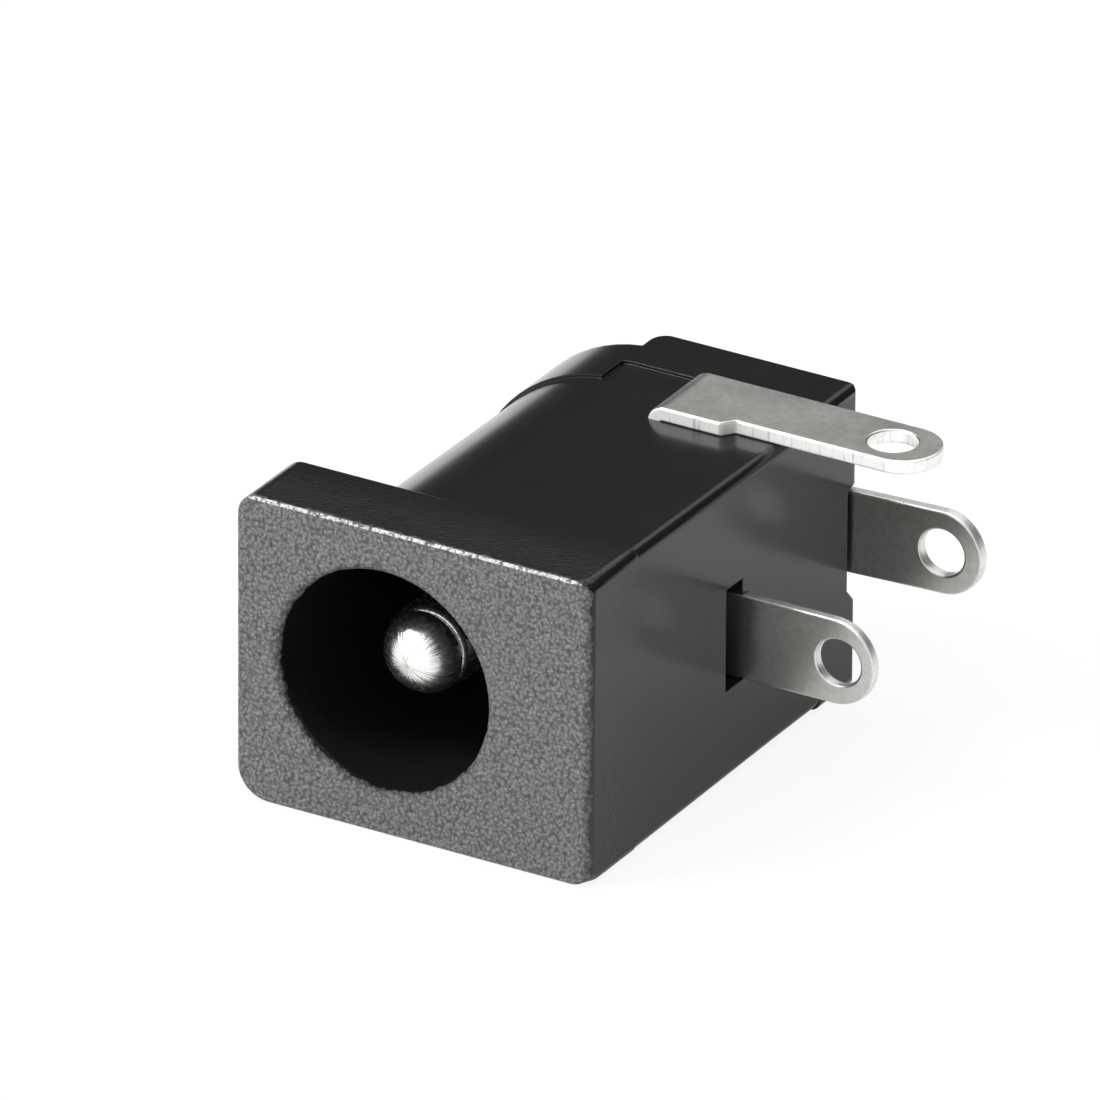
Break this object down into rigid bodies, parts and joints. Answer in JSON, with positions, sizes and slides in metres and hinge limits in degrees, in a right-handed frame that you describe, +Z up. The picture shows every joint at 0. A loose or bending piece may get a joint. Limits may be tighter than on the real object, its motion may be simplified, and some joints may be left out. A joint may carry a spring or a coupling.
{
  "type": "dc power jack",
  "caption": "Square-fronted moulded jack with a round socket and centre pin, a sprung sleeve contact, a switch contact and flat solder lugs with wire holes.",
  "frame": {"origin": "centre of the bounding box's base, under the low flat side that the jack lies on", "axes": "+X from the housing's round top towards the board face and the lugs' tips, +Y from the socket's mouth to the back, +Z up across the housing's width"},
  "size_m": [0.0152, 0.0142, 0.0093],
  "materials": {
    "housing": "satin black moulding with a fine grain on the front",
    "pin": "bright plated, turned",
    "terminals": "tin-plated stamped sheet"
  },
  "bodies": {
    "root": {"housing": "housing", "centre_pin": "pin", "back_terminal": "terminals", "sleeve_spring": "terminals", "switch_terminal": "terminals"}
  },
  "joints": []
}
